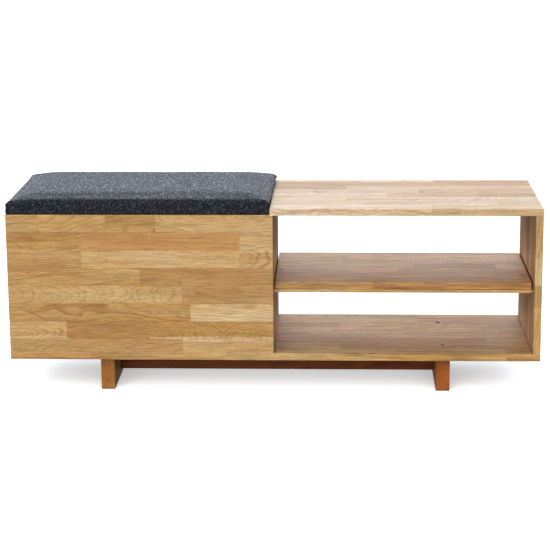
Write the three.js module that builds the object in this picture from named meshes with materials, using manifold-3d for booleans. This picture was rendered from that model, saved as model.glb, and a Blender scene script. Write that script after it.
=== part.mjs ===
// Entryway bench. A plank case stands on an H-shaped base. The left half of the
// case is a storage box under a hinged lid with a felt-covered seat, and the
// right half is a bay, open at the front and the back, with one loose shelf.
// Millimetres. +Z is up, +X is to the right seen from the front, -Y is the front,
// and the origin is on the floor under the middle of the bench.

import * as THREE from 'three';
import { mergeVertices } from 'three/addons/utils/BufferGeometryUtils.js';
import Module from 'manifold-3d';

const wasm = await Module();
wasm.setup();

// ---- Driving dimensions -------------------------------------------------------

const WIDTH = 1448;
const DEPTH = 381;
const PANEL = 20;             // thickness of every case panel
const EASE = 1.5;             // rounding of exposed wooden edges

const BASE_HEIGHT = 102;
const CASE_HEIGHT = 425;
const LEG_THICKNESS = 38;
const LEG_INSET_X = 241;      // end of the case to the outer face of a leg
const LEG_INSET_Y = 50;       // front of the case to the front of a leg
const RAIL_CLEARANCE = 20;    // floor to the underside of the base rail

const LID_DROP = 18;          // top of the case down to the joint under the lid
const BACK_INSET = 6;         // room behind the storage box for hinge knuckles
const TOP_BEARING = 8.5;      // how far the top panel reaches over the divider
const LID_GAP = 3;            // lid to the end of the top panel

const SHELF_LEVEL = 212;      // underside of the case to the top of the shelf
const SHELF_INSET_FRONT = 36;
const SHELF_INSET_BACK = 15;
const SHELF_END_GAP = 3.5;
const SHELF_RAIL_HEIGHT = 9;
const SHELF_RAIL_WIDTH = 20;
const SHELF_RAIL_PROUD = 1;   // front rail ahead of the shelf's front edge
const SHELF_RAIL_SET_IN = 14; // back rail ahead of the shelf's back edge

const LID_BOARD = 15;         // thickness of the board under the seat
const FELT = 2.5;
const LINING = 0.8;
const SEAT_HEIGHT = 559;      // floor to the crown of the seat
const SEAT_ROUND = 12;        // rounding of the seat's upper edge
const SEAT_CORNER = 16;       // rounding of the seat's corners in plan
const TURN_UNDER = 20;        // felt turned under the lid board
const LINING_MARGIN = 4;      // turned felt to the lining
const LINING_HINGE_GAP = 14;  // hinge leaves to the lining

const SOFT_GAP = 0.3;         // felt, foam and lining to their neighbours
const LEAF = 1.2;             // hinge leaf thickness
const LEAF_GAP = 0.05;        // clearance above and below each closed leaf
const LEAF_WIDTH = 18.8;
const HINGE_LENGTH = 60;
const HINGE_OFFSET = 240;     // middle of the lid to the middle of a hinge
const KNUCKLES = 3;
const KNUCKLE_RADIUS = 2.5;
const KNUCKLE_STANDOFF = 0.5; // back of the storage box to the knuckles
const KNUCKLE_PLAY = 0.1;     // between knuckles, along the pin
const PLATE_GAP = 0.2;        // knuckles to the flat of a leaf
const PIN_RADIUS = 1.2;
const RUNNING = 0.1;          // radial clearance of a pin, dowel or screw

// ---- Derived places -----------------------------------------------------------

const END = WIDTH / 2;
const FRONT = -DEPTH / 2;
const BACK = DEPTH / 2;
const CASE_BOTTOM = BASE_HEIGHT;
const CASE_TOP = BASE_HEIGHT + CASE_HEIGHT;
const FLOOR_OF_CASE = CASE_BOTTOM + PANEL;
const TOP_UNDERSIDE = CASE_TOP - PANEL;
const LID_JOINT = CASE_TOP - LID_DROP;
const DIVIDER = { left: -PANEL, right: 0 };
const BOX_BACK = BACK - BACK_INSET;
const BAY_RIGHT = END - PANEL;
const LEG_X = END - LEG_INSET_X - LEG_THICKNESS / 2;
const LEG_END = BACK - LEG_INSET_Y;

const SEAT = {
  left: -END,
  right: -TOP_BEARING - LID_GAP,
  front: FRONT,
  back: BOX_BACK,
};
const HINGE_Y = BOX_BACK + KNUCKLE_STANDOFF + KNUCKLE_RADIUS;
const HINGE_Z = LID_JOINT + LEAF + 2 * LEAF_GAP;
const LID_UNDERSIDE = HINGE_Z + LEAF + 2 * LEAF_GAP;
const SEAT_MIDDLE = (SEAT.left + SEAT.right) / 2;

const SHELF_TOP = CASE_BOTTOM + SHELF_LEVEL;
const SHELF_UNDERSIDE = SHELF_TOP - PANEL;
const SHELF_FRONT = FRONT + SHELF_INSET_FRONT;
const SHELF_BACK = BACK - SHELF_INSET_BACK;

// ---- Materials ----------------------------------------------------------------

const finish = (color, roughness, metalness = 0) => (
  () => new THREE.MeshStandardMaterial({ color, roughness, metalness })
);
const casePlank = finish(0xc8a064, 0.5);
const basePlank = finish(0xaf733c, 0.5);
const plywood = finish(0xd2b98c, 0.7);
const beech = finish(0xc9a77a, 0.75);
const felt = finish(0x3b4048, 0.95);
const foam = finish(0xe6dcbe, 0.95);
const lining = finish(0x26262a, 0.95);
const steel = finish(0xb4b4b8, 0.35, 1);

// ---- Solids -------------------------------------------------------------------

function toSolid(geometry) {
  const plain = geometry.clone();
  plain.deleteAttribute('normal');
  plain.deleteAttribute('uv');
  const merged = mergeVertices(plain, 1e-4);
  return new wasm.Manifold(new wasm.Mesh({
    numProp: 3,
    vertProperties: new Float32Array(merged.attributes.position.array),
    triVerts: new Uint32Array(merged.index.array),
  }));
}

function toGeometry(solid) {
  const mesh = solid.getMesh();
  const geometry = new THREE.BufferGeometry();
  geometry.setAttribute('position', new THREE.BufferAttribute(mesh.vertProperties, 3));
  geometry.setIndex(new THREE.BufferAttribute(mesh.triVerts, 1));
  geometry.computeVertexNormals();
  return geometry;
}

function block(low, high) {
  const size = high.map((value, axis) => value - low[axis]);
  const middle = high.map((value, axis) => (value + low[axis]) / 2);
  const geometry = new THREE.BoxGeometry(...size);
  geometry.translate(...middle);
  return toSolid(geometry);
}

const SIDES_OF = { dowel: 16, legScrew: 24, hingeScrew: 12, socket: 6 };

// A solid of revolution about Z, from [radius, height] points that start and end
// on the axis.
function turned(profile, sides = SIDES_OF.dowel) {
  const points = profile.map(([radius, height]) => new THREE.Vector2(radius, height));
  const geometry = new THREE.LatheGeometry(points, sides);
  geometry.rotateX(Math.PI / 2);
  return geometry;
}

function rod(radius, low, high, sides = SIDES_OF.dowel) {
  return turned([[0, low], [radius, low], [radius, high], [0, high]], sides);
}

// Turns a geometry made along +Z so that it runs along the named axis.
function along(axis, geometry) {
  if (axis === 'x') geometry.rotateY(Math.PI / 2);
  if (axis === 'y') geometry.rotateX(-Math.PI / 2);
  return geometry;
}

function moved(geometry, x, y, z) {
  geometry.translate(x, y, z);
  return geometry;
}

function cut(solid, ...cutters) {
  return cutters.reduce((rest, cutter) => rest.subtract(cutter), solid);
}

// ---- Eased edges --------------------------------------------------------------

const FACES = {
  left: { axis: 0, sign: -1 },
  right: { axis: 0, sign: 1 },
  front: { axis: 1, sign: -1 },
  back: { axis: 1, sign: 1 },
  bottom: { axis: 2, sign: -1 },
  top: { axis: 2, sign: 1 },
};
const ARC_STEPS = 3;
const OVERSHOOT = 1;

// The waste outside a quarter round on the edge where two faces of a block meet.
function edgeWaste(low, high, faceNames, radius, span) {
  const [one, two] = faceNames.split(' ').map((name) => FACES[name]);
  const axis = 3 - one.axis - two.axis;
  const across = (axis + 1) % 3;
  const up = (axis + 2) % 3;
  const signOf = (wanted) => (one.axis === wanted ? one.sign : two.sign);
  const corner = (wanted) => (signOf(wanted) > 0 ? high[wanted] : low[wanted]);
  const [signA, signU] = [signOf(across), signOf(up)];
  const [cornerA, cornerU] = [corner(across), corner(up)];

  const outline = [];
  for (let step = 0; step <= ARC_STEPS; step += 1) {
    const angle = (Math.PI / 2) * (step / ARC_STEPS);
    outline.push(new THREE.Vector2(
      cornerA - signA * radius * (1 - Math.sin(angle)),
      cornerU - signU * radius * (1 - Math.cos(angle)),
    ));
  }
  outline.push(new THREE.Vector2(cornerA + signA * OVERSHOOT, cornerU - signU * radius));
  outline.push(new THREE.Vector2(cornerA + signA * OVERSHOOT, cornerU + signU * OVERSHOOT));
  outline.push(new THREE.Vector2(cornerA - signA * radius, cornerU + signU * OVERSHOOT));

  const [from, to] = span ?? [low[axis] - OVERSHOOT, high[axis] + OVERSHOOT];
  const geometry = new THREE.ExtrudeGeometry(new THREE.Shape(outline), {
    depth: to - from,
    bevelEnabled: false,
  });
  geometry.translate(0, 0, from);
  const unit = [0, 1, 2].map((index) => new THREE.Vector3().setComponent(index, 1));
  geometry.applyMatrix4(new THREE.Matrix4().makeBasis(unit[across], unit[up], unit[axis]));
  return toSolid(geometry);
}

// A plank with the named edges rounded. An edge is 'front top', or
// ['front top', from, to] where only a stretch of it is exposed.
function plank(low, high, edges, radius = EASE) {
  const waste = edges.map((edge) => {
    const [faceNames, ...span] = [edge].flat();
    return edgeWaste(low, high, faceNames, radius, span.length ? span : null);
  });
  return cut(block(low, high), ...waste);
}

// ---- The assembly -------------------------------------------------------------

const bench = new THREE.Group();

function addTo(group, name, shape, material) {
  const geometry = shape.isBufferGeometry ? shape : toGeometry(shape);
  const mesh = new THREE.Mesh(geometry, material());
  mesh.name = name;
  group.add(mesh);
  return mesh;
}

function subgroup(parent) {
  const group = new THREE.Group();
  parent.add(group);
  return group;
}

// ---- Fasteners ----------------------------------------------------------------

const CASE_DOWEL = { radius: 4, short: 11, long: 17 };
const BASE_DOWEL = { radius: 5, short: 20, long: 26 };
const SHELF_DOWEL = { radius: 2.5, short: 11, long: 13 };
const DOWEL_CHAMFER = 1;
const DOWEL_END_ROOM = 0.5;

// A dowel lies on the joint plane at local zero: its short end goes one way
// along -Z and its long end goes the other way.
function dowel({ radius, short, long }) {
  return turned([
    [0, -short],
    [radius - DOWEL_CHAMFER, -short],
    [radius, -short + DOWEL_CHAMFER],
    [radius, long - DOWEL_CHAMFER],
    [radius - DOWEL_CHAMFER, long],
    [0, long],
  ]);
}

function dowelHole({ radius, short, long }) {
  return rod(radius + RUNNING, -short - DOWEL_END_ROOM, long + DOWEL_END_ROOM);
}

const LEG_SCREW = {
  headRadius: 6,
  headHeight: 5,
  shankRadius: 3,
  length: 60,
  tip: 6,
  boreRadius: 6.5,
  boreDepth: 7,
  headEase: 0.8,
  socketRadius: 2.9,
  socketDepth: 3,
};
const LEG_SCREW_Y = 107;      // middle of the case to a leg screw, in plan

function legScrew() {
  const { headRadius, headHeight, headEase, shankRadius, length, tip } = LEG_SCREW;
  const body = toSolid(turned([
    [0, -length],
    [shankRadius, -length + tip],
    [shankRadius, 0],
    [headRadius, 0],
    [headRadius, headHeight - headEase],
    [headRadius - headEase, headHeight],
    [0, headHeight],
  ], SIDES_OF.legScrew));
  const top = headHeight + OVERSHOOT;
  const floor = headHeight - LEG_SCREW.socketDepth;
  const socket = rod(LEG_SCREW.socketRadius, floor, top, SIDES_OF.socket);
  return cut(body, toSolid(socket));
}

function legScrewHole() {
  const { boreRadius, boreDepth, shankRadius, length } = LEG_SCREW;
  return toSolid(turned([
    [0, -length - DOWEL_END_ROOM],
    [shankRadius + RUNNING, -length - DOWEL_END_ROOM],
    [shankRadius + RUNNING, 0],
    [boreRadius, 0],
    [boreRadius, boreDepth + OVERSHOOT],
    [0, boreDepth + OVERSHOOT],
  ], SIDES_OF.legScrew));
}

// The seat of a leg screw's head, and its hole, at one corner of the base.
function legScrewPlace(sideX, sideY) {
  return [sideX * LEG_X, sideY * LEG_SCREW_Y, FLOOR_OF_CASE - LEG_SCREW.boreDepth];
}

const SIDES = { left: -1, right: 1 };
const DEPTHS = { front: -1, back: 1 };
const corners = Object.entries(SIDES).flatMap(([side, x]) => (
  Object.entries(DEPTHS).map(([end, y]) => ({ name: `${side}_${end}`, x, y }))
));
const legScrewHoles = corners.map(({ x, y }) => (
  legScrewHole().translate(legScrewPlace(x, y))
));

// ---- Case joints --------------------------------------------------------------

const DOWEL_Y = 110;          // middle of the case to a case dowel, in plan
const uprights = {
  left: -END + PANEL / 2,
  divider: (DIVIDER.left + DIVIDER.right) / 2,
  right: END - PANEL / 2,
};
const caseDowels = [];
for (const [end, sign] of Object.entries(DEPTHS)) {
  for (const [upright, x] of Object.entries(uprights)) {
    caseDowels.push({
      name: `case_dowel_${upright}_bottom_${end}`,
      place: [x, sign * DOWEL_Y, FLOOR_OF_CASE],
      turn: 0,
    });
  }
  caseDowels.push({
    name: `case_dowel_right_top_${end}`,
    place: [uprights.right, sign * DOWEL_Y, TOP_UNDERSIDE],
    turn: Math.PI,
  });
}

function placedDowel(make, { place, turn }) {
  const geometry = make(CASE_DOWEL);
  geometry.rotateX(turn);
  return moved(geometry, ...place);
}
const caseDowelHoles = caseDowels.map((item) => toSolid(placedDowel(dowelHole, item)));

// Shelf rails are doweled into the divider and the right side panel.
const RAIL_Y = {
  front: SHELF_FRONT - SHELF_RAIL_PROUD + SHELF_RAIL_WIDTH / 2,
  back: SHELF_BACK - SHELF_RAIL_SET_IN - SHELF_RAIL_WIDTH / 2,
};
const RAIL_Z = SHELF_UNDERSIDE - SOFT_GAP - SHELF_RAIL_HEIGHT / 2;
const shelfDowels = Object.entries(RAIL_Y).flatMap(([end, y]) => [
  { name: `shelf_dowel_left_${end}`, place: [DIVIDER.right, y, RAIL_Z], turn: 0 },
  { name: `shelf_dowel_right_${end}`, place: [BAY_RIGHT, y, RAIL_Z], turn: Math.PI },
]);

function placedShelfDowel(make, { place, turn }) {
  const geometry = along('x', make(SHELF_DOWEL));
  geometry.rotateZ(turn);
  return moved(geometry, ...place);
}
const shelfDowelHoles = shelfDowels.map((item) => (
  toSolid(placedShelfDowel(dowelHole, item))
));

// ---- Hinges: places and screw holes -------------------------------------------

const hinges = [
  { name: 'hinge_left', x: SEAT_MIDDLE - HINGE_OFFSET },
  { name: 'hinge_right', x: SEAT_MIDDLE + HINGE_OFFSET },
];
const HINGE_SCREW = { headRadius: 2.8, headHeight: 1.1, shankRadius: 1.3, length: 13, tip: 3 };
const SCREW_Y = BOX_BACK - PANEL / 2 - HINGE_Y;
const SCREW_X = [-20, 0, 20];

// A hinge screw points along -Z with its flat head's face at local zero.
function hingeScrew() {
  const { headRadius, headHeight, shankRadius, length, tip } = HINGE_SCREW;
  return turned([
    [0, -length],
    [shankRadius, -length + tip],
    [shankRadius, -headHeight],
    [headRadius, 0],
    [0, 0],
  ], SIDES_OF.hingeScrew);
}

function pilotHoles(direction, z) {
  const reach = HINGE_SCREW.length + OVERSHOOT;
  return hinges.flatMap(({ x }) => SCREW_X.map((offset) => {
    const radius = HINGE_SCREW.shankRadius + RUNNING;
    const hole = rod(radius, -reach, OVERSHOOT, SIDES_OF.hingeScrew);
    if (direction > 0) hole.rotateX(Math.PI);
    return toSolid(moved(hole, x + offset, HINGE_Y + SCREW_Y, z));
  }));
}

// ---- Case ---------------------------------------------------------------------

function buildCase() {
  const group = subgroup(bench);
  const bayFront = ['front top', DIVIDER.right, BAY_RIGHT];
  const bayBack = ['back top', DIVIDER.right, BAY_RIGHT];
  const outerCorners = ['left front', 'left back', 'right front', 'right back'];

  const bottom = plank(
    [-END, FRONT, CASE_BOTTOM],
    [END, BACK, FLOOR_OF_CASE],
    ['front bottom', 'back bottom', 'left bottom', 'right bottom', bayFront, bayBack,
      ...outerCorners],
  );
  addTo(group, 'bottom_panel', cut(bottom, ...caseDowelHoles, ...legScrewHoles), casePlank);

  const top = plank(
    [-TOP_BEARING, FRONT, TOP_UNDERSIDE],
    [END, BACK, CASE_TOP],
    ['front top', 'back top', 'left top', 'right top', ...outerCorners,
      ['front bottom', DIVIDER.right, BAY_RIGHT], ['back bottom', DIVIDER.right, BAY_RIGHT]],
  );
  addTo(group, 'top_panel', cut(top, ...caseDowelHoles), casePlank);

  const rightSide = plank(
    [BAY_RIGHT, FRONT, FLOOR_OF_CASE],
    [END, BACK, TOP_UNDERSIDE],
    outerCorners,
  );
  const rightHoles = [...caseDowelHoles, ...shelfDowelHoles];
  addTo(group, 'right_side_panel', cut(rightSide, ...rightHoles), casePlank);

  const leftSide = plank(
    [-END, FRONT + PANEL, FLOOR_OF_CASE],
    [-END + PANEL, BOX_BACK - PANEL, LID_JOINT],
    ['left top', 'right top'],
  );
  addTo(group, 'left_side_panel', cut(leftSide, ...caseDowelHoles), casePlank);

  const divider = block(
    [DIVIDER.left, FRONT + PANEL, FLOOR_OF_CASE],
    [DIVIDER.right, BOX_BACK - PANEL, TOP_UNDERSIDE],
  );
  const dividerHoles = [...caseDowelHoles, ...shelfDowelHoles];
  addTo(group, 'divider_panel', cut(divider, ...dividerHoles), casePlank);

  // The front and back of the storage box rise above the divider, so their right
  // ends are stepped down under the end of the top panel.
  const step = block(
    [-TOP_BEARING - SOFT_GAP, FRONT - OVERSHOOT, TOP_UNDERSIDE],
    [OVERSHOOT, BACK, LID_JOINT + OVERSHOOT],
  );
  const front = plank(
    [-END, FRONT, FLOOR_OF_CASE],
    [DIVIDER.right, FRONT + PANEL, LID_JOINT],
    ['front top', 'back top', 'left front', 'right front'],
  );
  addTo(group, 'front_panel', cut(front, step), casePlank);

  const back = plank(
    [-END, BOX_BACK - PANEL, FLOOR_OF_CASE],
    [DIVIDER.right, BOX_BACK, LID_JOINT],
    ['left back', 'right back'],
  );
  addTo(group, 'back_panel', cut(back, step, ...pilotHoles(-1, LID_JOINT)), casePlank);

  for (const item of caseDowels) {
    addTo(group, item.name, placedDowel(dowel, item), beech);
  }
}

// ---- Open bay -----------------------------------------------------------------

function buildBay() {
  const group = subgroup(bench);
  const railEase = 1;
  const longEdges = ['front top', 'front bottom', 'back top', 'back bottom'];
  const endEdges = ['left front', 'left back', 'right front', 'right back',
    'left top', 'right top', 'left bottom', 'right bottom'];

  const shelf = plank(
    [DIVIDER.right + SHELF_END_GAP, SHELF_FRONT, SHELF_UNDERSIDE],
    [BAY_RIGHT - SHELF_END_GAP, SHELF_BACK, SHELF_TOP],
    [...longEdges, ...endEdges],
  );
  addTo(group, 'shelf', shelf, casePlank);

  for (const [end, y] of Object.entries(RAIL_Y)) {
    const rail = plank(
      [DIVIDER.right, y - SHELF_RAIL_WIDTH / 2, RAIL_Z - SHELF_RAIL_HEIGHT / 2],
      [BAY_RIGHT, y + SHELF_RAIL_WIDTH / 2, RAIL_Z + SHELF_RAIL_HEIGHT / 2],
      longEdges,
      railEase,
    );
    addTo(group, `shelf_rail_${end}`, cut(rail, ...shelfDowelHoles), casePlank);
  }
  for (const item of shelfDowels) {
    addTo(group, item.name, placedShelfDowel(dowel, item), beech);
  }
}

// ---- Base ---------------------------------------------------------------------

function buildBase() {
  const group = subgroup(bench);
  const dowelInset = 22;
  const dowelHeights = {
    lower: RAIL_CLEARANCE + dowelInset,
    upper: BASE_HEIGHT - dowelInset,
  };
  const baseDowels = Object.entries(SIDES).flatMap(([side, x]) => (
    Object.entries(dowelHeights).map(([level, z]) => ({
      name: `base_dowel_${side}_${level}`,
      x: x * (LEG_X - LEG_THICKNESS / 2),
      z,
      turn: x < 0 ? 0 : Math.PI,
    }))
  ));
  const placed = (make, { x, z, turn }) => {
    const geometry = along('x', make(BASE_DOWEL));
    geometry.rotateZ(turn);
    return moved(geometry, x, 0, z);
  };
  const dowelHoles = baseDowels.map((item) => toSolid(placed(dowelHole, item)));

  for (const [side, sign] of Object.entries(SIDES)) {
    const leg = plank(
      [sign * LEG_X - LEG_THICKNESS / 2, -LEG_END, 0],
      [sign * LEG_X + LEG_THICKNESS / 2, LEG_END, BASE_HEIGHT],
      ['left front', 'left back', 'right front', 'right back',
        'front bottom', 'back bottom', 'left bottom', 'right bottom'],
    );
    addTo(group, `${side}_leg`, cut(leg, ...dowelHoles, ...legScrewHoles), basePlank);
  }

  const inner = LEG_X - LEG_THICKNESS / 2;
  const rail = plank(
    [-inner, -LEG_THICKNESS / 2, RAIL_CLEARANCE],
    [inner, LEG_THICKNESS / 2, BASE_HEIGHT],
    ['front bottom', 'back bottom'],
  );
  addTo(group, 'base_rail', cut(rail, ...dowelHoles), basePlank);

  for (const item of baseDowels) {
    addTo(group, item.name, placed(dowel, item), beech);
  }
  for (const { name, x, y } of corners) {
    const screw = legScrew().translate(legScrewPlace(x, y));
    addTo(group, `leg_screw_${name}`, screw, steel);
  }
}

// ---- Lid and seat -------------------------------------------------------------

// A slab with rounded corners in plan and, if it is domed, a rounded upper edge.
// `inset` moves every side in from the seat's outline.
function slab(inset, low, high, domed) {
  const round = domed ? SEAT_ROUND - inset : 0;
  const radius = SEAT_CORNER - inset - round;
  const left = SEAT.left + inset + round;
  const right = SEAT.right - inset - round;
  const front = SEAT.front + inset + round;
  const back = SEAT.back - inset - round;
  const shape = new THREE.Shape();
  shape.moveTo(left + radius, front);
  shape.lineTo(right - radius, front);
  shape.absarc(right - radius, front + radius, radius, -Math.PI / 2, 0);
  shape.lineTo(right, back - radius);
  shape.absarc(right - radius, back - radius, radius, 0, Math.PI / 2);
  shape.lineTo(left + radius, back);
  shape.absarc(left + radius, back - radius, radius, Math.PI / 2, Math.PI);
  shape.lineTo(left, front + radius);
  shape.absarc(left + radius, front + radius, radius, Math.PI, Math.PI * 1.5);
  const geometry = new THREE.ExtrudeGeometry(shape, {
    depth: high - low - round,
    curveSegments: 4,
    bevelEnabled: domed,
    bevelThickness: round,
    bevelSize: round,
    bevelSegments: 4,
  });
  geometry.translate(0, 0, low);
  const whole = toSolid(geometry);
  const below = block(
    [SEAT.left - OVERSHOOT, SEAT.front - OVERSHOOT, low - round - OVERSHOOT],
    [SEAT.right + OVERSHOOT, SEAT.back + OVERSHOOT, low],
  );
  return cut(whole, below);
}

function buildLid() {
  const group = subgroup(bench);
  const boardInset = FELT + SOFT_GAP;
  const boardTop = LID_UNDERSIDE + LID_BOARD;
  const feltBottom = LID_JOINT + SOFT_GAP;

  const board = slab(boardInset, LID_UNDERSIDE, boardTop, false);
  addTo(group, 'lid_board', cut(board, ...pilotHoles(1, LID_UNDERSIDE)), plywood);

  const foamTop = SEAT_HEIGHT - FELT - SOFT_GAP;
  const pad = slab(boardInset, boardTop, foamTop, true);
  addTo(group, 'seat_foam', pad, foam);

  // The felt goes over the foam and round the board, and is turned under at the
  // front and both ends. At the back it stops level with the board.
  const outside = slab(0, feltBottom, SEAT_HEIGHT, true);
  const inside = slab(FELT, LID_UNDERSIDE - SOFT_GAP, SEAT_HEIGHT - FELT, true);
  const mouth = block(
    [SEAT.left + TURN_UNDER, SEAT.front + TURN_UNDER, feltBottom - OVERSHOOT],
    [SEAT.right - TURN_UNDER, SEAT.back + OVERSHOOT, LID_UNDERSIDE + RUNNING],
  );
  addTo(group, 'seat_cover', cut(outside, inside, mouth), felt);

  const inset = TURN_UNDER + LINING_MARGIN;
  const back = HINGE_Y - LEAF_WIDTH - LINING_HINGE_GAP;
  const top = LID_UNDERSIDE - RUNNING;
  const sheet = block(
    [SEAT.left + inset, SEAT.front + inset, top - LINING],
    [SEAT.right - inset, back, top],
  );
  addTo(group, 'lid_lining', sheet, lining);
}

// ---- Hinges -------------------------------------------------------------------

const SCREW_SINK = 0.05;      // face of a leaf down to its screw heads

// A leaf in the hinge's own frame, with the pin's axis along local X. `side` is
// -1 for the leaf under the joint and +1 for the one above it.
function hingeLeaf(side, ownKnuckles) {
  const inner = side * LEAF_GAP;
  const outer = side * (LEAF_GAP + LEAF);
  const [low, high] = [Math.min(inner, outer), Math.max(inner, outer)];
  const plateEdge = -KNUCKLE_RADIUS - PLATE_GAP;
  const half = HINGE_LENGTH / 2;
  let leaf = block(
    [-half, plateEdge - LEAF_WIDTH, low],
    [half, plateEdge, high],
  );
  const pitch = HINGE_LENGTH / KNUCKLES;
  for (const index of ownKnuckles) {
    const from = -half + index * pitch + KNUCKLE_PLAY;
    const to = -half + (index + 1) * pitch - KNUCKLE_PLAY;
    const tab = block([from, plateEdge - OVERSHOOT, low], [to, 0, high]);
    const knuckle = toSolid(along('x', rod(KNUCKLE_RADIUS, from, to)));
    leaf = leaf.add(tab).add(knuckle);
  }
  const reach = half + OVERSHOOT;
  const bore = toSolid(along('x', rod(PIN_RADIUS + RUNNING, -reach, reach)));
  return cut(leaf, bore, ...leafScrewHoles(side));
}

// Screws enter each leaf from the face that closes on the other leaf.
function screwPlaces(side) {
  return SCREW_X.map((x) => [x, SCREW_Y, side * (LEAF_GAP + SCREW_SINK)]);
}

function towards(side, geometry) {
  if (side > 0) geometry.rotateX(Math.PI);
  return geometry;
}

function leafScrewHoles(side) {
  const { headRadius, headHeight, shankRadius, length } = HINGE_SCREW;
  const slope = (headRadius - shankRadius) / headHeight;
  return screwPlaces(side).map((place) => {
    const hole = turned([
      [0, -length],
      [shankRadius + RUNNING, -length],
      [shankRadius + RUNNING, -headHeight],
      [headRadius + RUNNING, 0],
      [headRadius + RUNNING + slope * OVERSHOOT, OVERSHOOT],
      [0, OVERSHOOT],
    ], SIDES_OF.hingeScrew);
    return toSolid(moved(towards(side, hole), ...place));
  });
}

function buildHinge({ name, x }) {
  const group = subgroup(bench);
  group.position.set(x, HINGE_Y, HINGE_Z);
  addTo(group, `${name}_case_leaf`, hingeLeaf(-1, [0, 2]), steel);
  addTo(group, `${name}_lid_leaf`, hingeLeaf(1, [1]), steel);

  const headLength = 1;
  const headRadius = 2;
  const half = HINGE_LENGTH / 2 + KNUCKLE_PLAY;
  const pin = turned([
    [0, -half - headLength],
    [headRadius, -half - headLength],
    [headRadius, -half],
    [PIN_RADIUS, -half],
    [PIN_RADIUS, half],
    [headRadius, half],
    [headRadius, half + headLength],
    [0, half + headLength],
  ]);
  addTo(group, `${name}_pin`, along('x', pin), steel);

  for (const [part, side] of [['case', -1], ['lid', 1]]) {
    screwPlaces(side).forEach((place, index) => {
      const screw = moved(towards(side, hingeScrew()), ...place);
      addTo(group, `${name}_${part}_screw_${index + 1}`, screw, steel);
    });
  }
}

buildCase();
buildBay();
buildBase();
buildLid();
hinges.forEach(buildHinge);

export default bench;
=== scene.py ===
"""The looks of the entryway bench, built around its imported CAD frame.

Lengths are in metres, in the frame's own axes: +Z up, +X to the right seen from the front, -Y the
front. The wooden and steel parts are the CAD nodes with procedural materials. The felt seat and the
cloth under the lid replace their plain CAD solids.
"""

import math
import random

import bmesh
import bpy
from mathutils import Euler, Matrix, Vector, noise
from mathutils.bvhtree import BVHTree


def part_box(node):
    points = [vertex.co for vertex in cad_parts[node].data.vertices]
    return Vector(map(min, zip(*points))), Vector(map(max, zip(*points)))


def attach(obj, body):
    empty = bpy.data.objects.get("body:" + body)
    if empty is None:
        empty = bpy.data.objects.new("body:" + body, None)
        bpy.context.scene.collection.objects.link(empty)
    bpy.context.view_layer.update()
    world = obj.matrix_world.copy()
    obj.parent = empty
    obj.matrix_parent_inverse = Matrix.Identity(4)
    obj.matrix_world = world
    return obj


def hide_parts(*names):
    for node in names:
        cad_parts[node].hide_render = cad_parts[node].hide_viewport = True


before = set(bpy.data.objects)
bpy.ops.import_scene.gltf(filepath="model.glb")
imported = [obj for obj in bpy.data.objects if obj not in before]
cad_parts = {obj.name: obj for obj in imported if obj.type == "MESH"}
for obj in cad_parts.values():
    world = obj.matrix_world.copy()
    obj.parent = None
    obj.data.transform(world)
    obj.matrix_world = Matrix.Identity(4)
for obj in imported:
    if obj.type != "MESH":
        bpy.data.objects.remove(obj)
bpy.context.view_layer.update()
scene = bpy.context.scene

X, Y, Z = 0, 1, 2
MM = 0.001


# ---- Camera, light and floor ---------------------------------

CAMERA_PLACE = (0.179, -4.377, 1.471)
CAMERA_DOWN, CAMERA_TURN, CAMERA_ROLL = 11.49, 2.35, -0.446  # degrees
CAMERA_LENS, CAMERA_SHIFT = 104.9, -0.182
FLOOR_SIZE = 60.0
FLOOR_COLOUR = (0.86, 0.86, 0.87, 1)
FLOOR_GLOW = (0.97, 0.985, 1, 1)
SHADE_REACH = 0.5               # how far from the bench it still dims the floor's glow
SCREEN_LIGHT = 3.1
SCREEN_TINT = (0.87, 0.98, 1.12)


def add_object(name, data):
    made = bpy.data.objects.new(name, data)
    scene.collection.objects.link(made)
    return made


def add_camera():
    data = bpy.data.cameras.new("camera")
    data.lens = CAMERA_LENS
    data.shift_y = CAMERA_SHIFT
    camera = add_object("camera", data)
    look = Euler((math.radians(90 - CAMERA_DOWN), 0, math.radians(CAMERA_TURN)))
    roll = Euler((0, 0, math.radians(CAMERA_ROLL)))
    camera.matrix_world = look.to_matrix().to_4x4() @ roll.to_matrix().to_4x4()
    camera.location = CAMERA_PLACE
    scene.camera = camera


def add_sun(name, strength, spread, down, turn, colour):
    """A soft sun. It shines `down` degrees below the level, from `turn` degrees off the front."""
    data = bpy.data.lights.new(name, "SUN")
    data.energy = strength
    data.angle = math.radians(spread)
    data.color = colour
    light = add_object(name, data)
    light.rotation_euler = (math.radians(90 - down), 0, math.radians(turn))


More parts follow.
